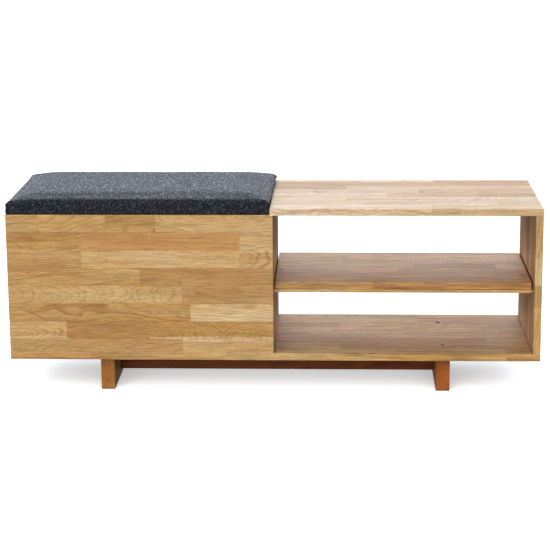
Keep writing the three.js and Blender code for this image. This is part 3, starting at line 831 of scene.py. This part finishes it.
def make_seat():
    low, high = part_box("seat_cover")
    size = high - low - Vector((2 * SEAT_INSET, 2 * SEAT_INSET, SEAT_START))
    extra = SEAT_ROUND - UNDER_ROUND
    mesh = rounded_block(size + Vector((0, 0, extra)), SEAT_ROUND, CELL)
    centre = (low + high) / 2
    for vertex in mesh.verts:
        height = vertex.co.z + (size.z + extra) / 2
        if height < SEAT_ROUND:
            height *= UNDER_ROUND / SEAT_ROUND
        else:
            height -= extra
        x, y = centre.x + vertex.co.x, centre.y + vertex.co.y
        left, right = fall(x - low.x, DROP_REACH), fall(high.x - x, DROP_REACH)
        front = fall(y - low.y, FRONT_REACH) * (1 - left) * (1 - right)
        drop = LEFT_DROP * left + RIGHT_DROP * right + FRONT_DROP * front
        height -= drop * ease(height / size.z)
        vertex.co = (x, y, low.z + height)
    cushion = mesh_object("seat_cushion", mesh)
    inflate(cushion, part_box("lid_board")[1].z + 1 * MM)
    finer = cushion.modifiers.new("finer", "SUBSURF")
    finer.levels = finer.render_levels = 1
    shaped = cushion.evaluated_get(bpy.context.evaluated_depsgraph_get())
    data = bpy.data.meshes.new_from_object(shaped)
    cushion.modifiers.clear()
    cushion.data = data
    shape_seat(cushion, low, high)
    hollow_seat(cushion, low, high)
    smooth(cushion)
    return cushion


FELT_DARK = (0.009, 0.0105, 0.015, 1)
FELT_LIGHT = (0.150, 0.163, 0.195, 1)
SHEEN_PAINT_DARK = (0.086, 0.089, 0.106, 1)    # painted sheen of the raised fibres, seen from low down
SHEEN_PAINT_LIGHT = (0.72, 0.74, 0.79, 1)


def felt_material():
    """Wool felt: matted dark and light fibres, soft bobbles, a painted sheen that pales the colour
    at grazing angles, and a faint shader sheen.
    """
    material, graph, shader = new_material("felt")
    place = place_of(graph)
    bend = graph.node("ShaderNodeTexNoise")
    graph.feed_all(bend, {"Vector": place, "Scale": 150.0})
    curl = graph.vector("SUBTRACT", bend.outputs["Color"], (0.5, 0.5, 0.5))
    curled = graph.vector("ADD", place, graph.scaled(curl, 0.012))
    first = graph.noise(curled, (130, 560, 380), 3.0, 0.62)
    second = graph.noise(curled, (520, 120, 380), 3.0, 0.62)
    grain = graph.largest(first, second)
    matted = graph.noise(curled, (240, 130, 240), 4.0, 0.8)
    bobble = graph.noise(place, (190, 90, 190), 4.0, 0.75)
    light_fibre = graph.spread(grain, 0.56, 0.76)
    fleck = graph.spread(matted, 0.49, 0.68)
    mixed = graph.add(graph.times(light_fibre, 0.35), graph.times(fleck, 0.75))
    mixed = graph.math("MINIMUM", mixed, 1.0)
    colour = graph.blend(mixed, FELT_DARK, FELT_LIGHT)
    # Painted sheen: the colour turns to a pale sheen colour where the surface is seen at a grazing
    # angle.
    grazing = graph.node("ShaderNodeLayerWeight")
    grazing.inputs["Blend"].default_value = 0.5
    sheen_share = graph.spread(grazing.outputs["Facing"], 0.25, 0.95)
    painted_sheen = graph.blend(graph.spread(mixed, 0.0, 0.8), SHEEN_PAINT_DARK, SHEEN_PAINT_LIGHT)
    colour = graph.blend(sheen_share, colour, painted_sheen)
    height = graph.add(graph.times(grain, 0.15), graph.add(graph.times(matted, 0.5), bobble))
    graph.feed_all(shader, {
        "Base Color": colour,
        "Roughness": 0.95,
        "Specular IOR Level": 0.10,
        "Sheen Weight": 0.10,
        "Sheen Roughness": 0.40,
        "Sheen Tint": (0.86, 0.90, 1.0, 1),
        "Normal": graph.bump(height, 3.5 * MM, 1.0),
    })
    return material


seat = make_seat()
seat.data.materials.append(felt_material())
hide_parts("seat_cover", "seat_foam")
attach(seat, "lid")


# ---- Folded corners of the felt ------------------------------

FLAP_WIDTH, FLAP_THICK = 24 * MM, 1.6 * MM
FLAP_START = 4 * MM             # how far the fold starts from the seat's side
FLAP_ROWS, FLAP_COLUMNS = 10, 8
FLAP_SUNK = 0.6 * MM            # how deep the fold's back lies in the cushion


def close_sheets(mesh, top, bottom, rows, columns):
    """Makes a closed shell of two grids of points: both faces, and the edge round them."""
    stride = columns + 1
    made = []
    for row in range(rows):
        for column in range(columns):
            first = row * stride + column
            ring = (first, first + 1, first + stride + 1, first + stride)
            made.append(mesh.faces.new([top[index] for index in ring]))
            made.append(mesh.faces.new([bottom[index] for index in reversed(ring)]))
    around = list(range(stride)) + [row * stride + columns for row in range(1, rows + 1)]
    around += [rows * stride + column for column in reversed(range(columns))]
    around += [row * stride for row in reversed(range(1, rows))]
    for here, after in zip(around, around[1:] + around[:1]):
        made.append(mesh.faces.new((top[after], top[here], bottom[here], bottom[after])))
    return made


def add_flaps(cushion, low, high):
    """The folds at the seat's four corners: the felt comes round the end face and lies doubled."""
    tree = BVHTree.FromObject(cushion, bpy.context.evaluated_depsgraph_get())
    mesh = bmesh.new()
    mesh.from_mesh(cushion.data)
    for x, side, drop in ((low.x, -1, LEFT_DROP), (high.x, 1, RIGHT_DROP)):
        top = high.z - drop - 9 * MM
        bottom = low.z + 1.5 * MM
        for y, inward in ((low.y, 1), (high.y, -1)):
            sheets = ([], [])
            for row in range(FLAP_ROWS + 1):
                share = row / FLAP_ROWS
                height = bottom + (top - bottom) * share
                width = FLAP_WIDTH * (1 - 0.55 * share ** 1.5) + 0.5 * MM * math.sin(9 * share + x)
                for column in range(FLAP_COLUMNS + 1):
                    part = column / FLAP_COLUMNS
                    depth = FLAP_START + (width - FLAP_START) * part
                    start = Vector((x + side * 30 * MM, y + inward * depth, height))
                    hit = tree.ray_cast(start, Vector((-side, 0, 0)))[0]
                    hit = hit or Vector((x, start.y, height))
                    lift = FLAP_THICK * (ease(part * 5) - 0.35 * ease(part * 4 - 3))
                    for sheet, offset in zip(sheets, (-FLAP_SUNK, lift)):
                        sheet.append(mesh.verts.new(hit + Vector((side * offset, 0, 0))))
            made = close_sheets(mesh, *sheets, FLAP_ROWS, FLAP_COLUMNS)
            bmesh.ops.recalc_face_normals(mesh, faces=made)
    mesh.to_mesh(cushion.data)
    mesh.free()
    smooth(cushion)


add_flaps(seat, *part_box("seat_cover"))


# ---- Lining under the lid ------------------------------------

HEM, HEM_THICK = 9 * MM, 0.45 * MM
LINING_CELL, LINING_THICK = 7 * MM, 0.35 * MM
LINING_SAG, SAG_REACH = 2.2 * MM, 60 * MM
PUCKER, PUCKER_REACH = 0.16 * MM, 50 * MM       # small waves along the stretched edges
THREAD_PITCH = 1.1 * MM


def lining_material():
    """Thin black woven cloth: fine crossing threads, with a dull face and faint lint."""
    material, graph, shader = new_material("lining")
    place = place_of(graph)
    x, y, _ = graph.split(place)
    turn = 2 * math.pi / THREAD_PITCH
    warp = graph.math("SINE", graph.times(x, turn))
    weft = graph.math("SINE", graph.times(y, turn))
    weave = graph.add(graph.times(warp, weft), graph.times(graph.noise(place, 800), 0.6))
    lint = graph.spread(graph.noise(place, (90, 700, 90), 3.0, 0.6), 0.66, 0.74)
    fade = graph.noise(place, 9, 3.0)
    cloth = graph.blend(graph.times(fade, 0.7), (0.010, 0.010, 0.012, 1), (0.030, 0.030, 0.034, 1))
    colour = graph.blend(graph.times(lint, 0.35), cloth, (0.16, 0.15, 0.14, 1))
    graph.feed_all(shader, {
        "Base Color": colour,
        "Roughness": graph.add(0.72, graph.times(fade, 0.2)),
        "Specular IOR Level": 0.25,
        "Sheen Weight": 0.15,
        "Normal": graph.bump(weave, 0.12 * MM, 0.7),
    })
    return material


def make_lining():
    """A sheet stretched under the lid board, with its edges folded in and a slight sag."""
    low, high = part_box("lid_lining")
    columns = round((high.x - low.x) / LINING_CELL)
    rows = round((high.y - low.y) / LINING_CELL)
    mesh = bmesh.new()
    top, bottom = [], []
    for row in range(rows + 1):
        for column in range(columns + 1):
            x = low.x + (high.x - low.x) * column / columns
            y = low.y + (high.y - low.y) * row / rows
            edge = min(x - low.x, high.x - x, y - low.y, high.y - y)
            gaps = (y - low.y, x - low.x, high.x - x)
            front, left, right = (math.exp(-gap / PUCKER_REACH) for gap in gaps)
            ripple = front * math.sin(x * 160 + 2 * math.sin(y * 40))
            ripple += left * math.sin(y * 150 + 2 * math.sin(x * 30)) + right * math.sin(y * 140)
            uneven = 1 + 0.25 * noise.noise(Vector((x * 9, y * 9, 0)))
            sag = LINING_SAG * uneven * ease(edge / SAG_REACH)
            sag += PUCKER * (ripple + 2) * ease(edge / (14 * MM))
            hem = HEM_THICK * ease((HEM - edge) / (0.25 * LINING_CELL) + 0.5)
            top.append(mesh.verts.new((x, y, high.z - sag)))
            bottom.append(mesh.verts.new((x, y, high.z - LINING_THICK - sag - hem)))
    close_sheets(mesh, top, bottom, rows, columns)
    lining = mesh_object("lining_cloth", mesh)
    smooth(lining, 60)
    return lining


lining = make_lining()
lining.data.materials.append(lining_material())
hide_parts("lid_lining")
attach(lining, "lid")


# ---- Steel hinges, screws and staples ------------------------

def steel_material(name, tone, brushed_along, rough):
    """Plated steel: fine brush lines, dull patches, and edges worn bright."""
    material, graph, shader = new_material(name)
    place = place_of(graph)
    scale = [2600.0, 2600.0, 2600.0]
    scale[brushed_along] = 60.0
    brush = graph.noise(place, tuple(scale), 2.0, 0.6)
    patch = graph.noise(place, 240, 4.0, 0.65)
    flat = graph.largest(*facing_of(graph))
    worn = graph.times(graph.spread(flat, 0.98, 0.85), graph.spread(patch, 0.3, 0.6))
    dull = (*(0.62 * part for part in tone), 1)
    colour = graph.blend(graph.spread(patch, 0.45, 0.75), (*tone, 1), dull)
    uneven = graph.add(graph.times(brush, 0.16), graph.times(patch, 0.22))
    graph.feed_all(shader, {
        "Base Color": graph.blend(graph.times(worn, 0.6), colour, (0.86, 0.86, 0.86, 1)),
        "Metallic": 1.0,
        "Roughness": graph.add(rough - 0.08, uneven),
        "Normal": graph.bump(brush, 0.02 * MM, 0.5),
    })
    return material


hinge_steel = steel_material("hinge_steel", (0.62, 0.62, 0.64), X, 0.30)
pin_steel = steel_material("pin_steel", (0.50, 0.50, 0.52), X, 0.24)
screw_steel = steel_material("screw_steel", (0.56, 0.55, 0.53), Z, 0.34)
dark_screw_steel = steel_material("dark_screw_steel", (0.07, 0.065, 0.06), Z, 0.45)
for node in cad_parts:
    if node.startswith("leg_screw"):
        give(node, dark_screw_steel)
    elif "screw" in node:
        give(node, screw_steel)
    elif node.endswith("_leaf"):
        give(node, hinge_steel)
    elif node.endswith("_pin"):
        give(node, pin_steel)


STAPLE_WIRE, STAPLE_CROWN, STAPLE_PITCH = 0.7 * MM, 10 * MM, 0.055
STAPLE_INSET = 7 * MM           # how far the staples lie in from the turned edge of the felt
STAPLE_TURN, STAPLE_SHIFT = 14, 1.5 * MM        # how crooked, in degrees, and how far out of line
# Half crowns along the staple, and millimetres above the felt, from one leg to the other.
STAPLE_PATH = ((-1, 2.2), (-1, 0.35), (-0.86, -0.05), (0.86, -0.05), (1, 0.35), (1, 2.2))


def in_a_row(low, high, inset):
    """Even places for staples between two ends, each a little way in."""
    length = high - low - 2 * inset
    count = round(length / STAPLE_PITCH)
    return [low + inset + length * index / count for index in range(count + 1)]


def make_staples():
    """Wire staples that hold the turned felt to the underside of the lid board."""
    low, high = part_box("seat_cover")
    inset = TURNED_UNDER - STAPLE_INSET
    dice = random.Random(3)
    places = [(x, low.y + inset, 0) for x in in_a_row(low.x, high.x, 0.04)]
    for x in (low.x + inset, high.x - inset):
        places += [(x, y, 90) for y in in_a_row(low.y, high.y, 0.05)]
    mesh = bmesh.new()
    for x, y, turn in places:
        angle = math.radians(turn + dice.uniform(-STAPLE_TURN, STAPLE_TURN))
        along = Vector((math.cos(angle), math.sin(angle), 0))
        beside = Vector((-along.y, along.x, 0))
        middle = Vector((x, y + dice.uniform(-STAPLE_SHIFT, STAPLE_SHIFT), low.z))
        sections = []
        for reach, height in STAPLE_PATH:
            centre = middle + along * reach * STAPLE_CROWN / 2 + Vector((0, 0, height * MM))
            level = abs(reach) < 1
            inward = Vector((0, 0, 1)) if level else -along * math.copysign(1, reach)
            half, shift = beside * STAPLE_WIRE / 2, inward * STAPLE_WIRE
            ring = (centre - half, centre + half, centre + half + shift, centre - half + shift)
            sections.append([mesh.verts.new(point) for point in ring])
        for first, second in zip(sections, sections[1:]):
            for index in range(4):
                after = (index + 1) % 4
                mesh.faces.new((first[index], first[after], second[after], second[index]))
        mesh.faces.new(sections[0])
        mesh.faces.new(list(reversed(sections[-1])))
    bmesh.ops.recalc_face_normals(mesh, faces=mesh.faces)
    staples = mesh_object("lid_staples", mesh)
    smooth(staples, 30)
    return staples


staples = make_staples()
staples.data.materials.append(screw_steel)
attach(staples, "lid")


# ---- Dowels and plywood --------------------------------------

PLIES = 9


def dowel_material(along):
    """Turned beech: straight fine grain with short dark rays, and end grain at both ends."""
    material, graph, shader = new_material("dowel_" + "xyz"[along])
    parts = graph.split(place_of(graph))
    grain = graph.join(parts.pop(along), *parts)
    made = figure(graph, grain, (0.4, 0.3, 0.6), (*TONES["beech"], 1))
    rays = graph.spread(graph.noise(grain, (260, 1800, 1800), 1.0), 0.62, 0.68)
    colour = graph.blend(graph.times(rays, 0.5), made["Color"], (0.30, 0.17, 0.08, 1))
    finish_wood(graph, shader, colour, made["Roughness"], made["Height"], along, 0.4)
    return material


def plywood_material(node):
    """Birch plywood: a plain rotary-cut face, and plies that run two ways along its edges."""
    low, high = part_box(node)
    material, graph, shader = new_material("plywood")
    x, y, z = graph.split(place_of(graph))
    level = graph.times(graph.minus(z, low.z), PLIES / (high.z - low.z))
    odd = graph.math("MODULO", graph.math("FLOOR", level), 2.0)
    into = graph.math("FRACT", level)
    line = graph.math("LESS_THAN", graph.math("MINIMUM", into, graph.minus(1.0, into)), 0.06)
    grain = graph.join(x, graph.times(y, 0.5), z)
    made = figure(graph, grain, (0.5, 0.9, 0.35), (*TONES["birch"], 1))
    crossed = graph.tint(made["Color"], 0.74, 0.66, 0.56)
    edge = graph.spread(facing_of(graph)[Z], 0.6, 0.3)
    colour = graph.blend(graph.times(edge, odd), made["Color"], crossed)
    colour = graph.blend(graph.times(edge, graph.times(line, 0.7)), colour, (0.13, 0.07, 0.03, 1))
    graph.feed_all(shader, {
        "Base Color": colour,
        "Roughness": graph.add(made["Roughness"], 0.15),
        "Normal": graph.bump(made["Height"], 0.08 * MM, 0.7),
    })
    return material


upright_dowel, level_dowel = dowel_material(Z), dowel_material(X)
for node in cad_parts:
    if node.startswith("case_dowel"):
        give(node, upright_dowel)
    elif "dowel" in node:
        give(node, level_dowel)
give("lid_board", plywood_material("lid_board"))
